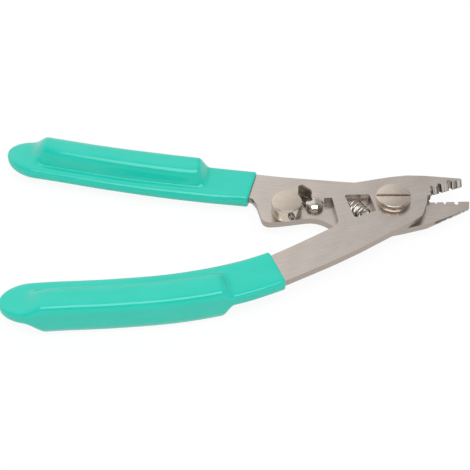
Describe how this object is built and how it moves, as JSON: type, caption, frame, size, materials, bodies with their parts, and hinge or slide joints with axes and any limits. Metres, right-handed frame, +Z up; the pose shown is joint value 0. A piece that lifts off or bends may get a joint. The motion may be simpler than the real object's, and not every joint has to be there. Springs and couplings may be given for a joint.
{
  "type": "fibre stripper",
  "caption": "Hand tool for stripping optical fibre: crossing, spring-opened steel jaws with graded notches, a stop disc with a set screw, a thumb lock and cushioned moulded grips.",
  "frame": {"origin": "centre of the footprint of the open tool, on the surface it lies on", "axes": "+X towards the jaws along the bisector of the open handles, +Z up out of the face with the slotted screw, +Y across the handles"},
  "size_m": [0.1663, 0.0889, 0.0133],
  "materials": {
    "plate_steel": "brushed along the plates",
    "fitting_steel": "turned and nickel plated",
    "spring_wire": "bright drawn wire",
    "grip_vinyl": "glossy dipped vinyl, turquoise"
  },
  "bodies": {
    "rear_half": {"rear_frame": "plate_steel", "pivot_screw": "fitting_steel", "pivot_washer": "fitting_steel", "pivot_nut": "fitting_steel", "return_spring": "spring_wire", "stop_disc": "fitting_steel", "stop_disc_screw": "fitting_steel", "lock_rivet": "fitting_steel", "lever_washer": "fitting_steel", "upper_grip": "grip_vinyl"},
    "front_half": {"front_frame": "plate_steel", "lower_grip": "grip_vinyl"},
    "lever": {"lock_lever": "fitting_steel"},
    "stop_set_screw": {"stop_screw": "spring_wire"}
  },
  "joints": [
    {"name": "handle_pivot", "type": "hinge", "parent": "rear_half", "child": "front_half", "pos_m": [0.05537, 0.00165, 0.00664], "axis": [0, 0, -1], "range_deg": [0, 17], "stiffness_Nm_per_rad": 0.3, "springref_deg": -11.46, "deforming": ["return_spring"]},
    {"name": "lock_lever_turn", "type": "hinge", "parent": "rear_half", "child": "lever", "pos_m": [0.02752, 0.00297, 0.00664], "axis": [0, 0, -1], "range_deg": [0, 75]},
    {"name": "stop_screw_travel", "type": "slide", "parent": "rear_half", "child": "stop_set_screw", "axis": [-0.2164, 0.9763, 0], "range_m": [0, 0.0006]}
  ]
}
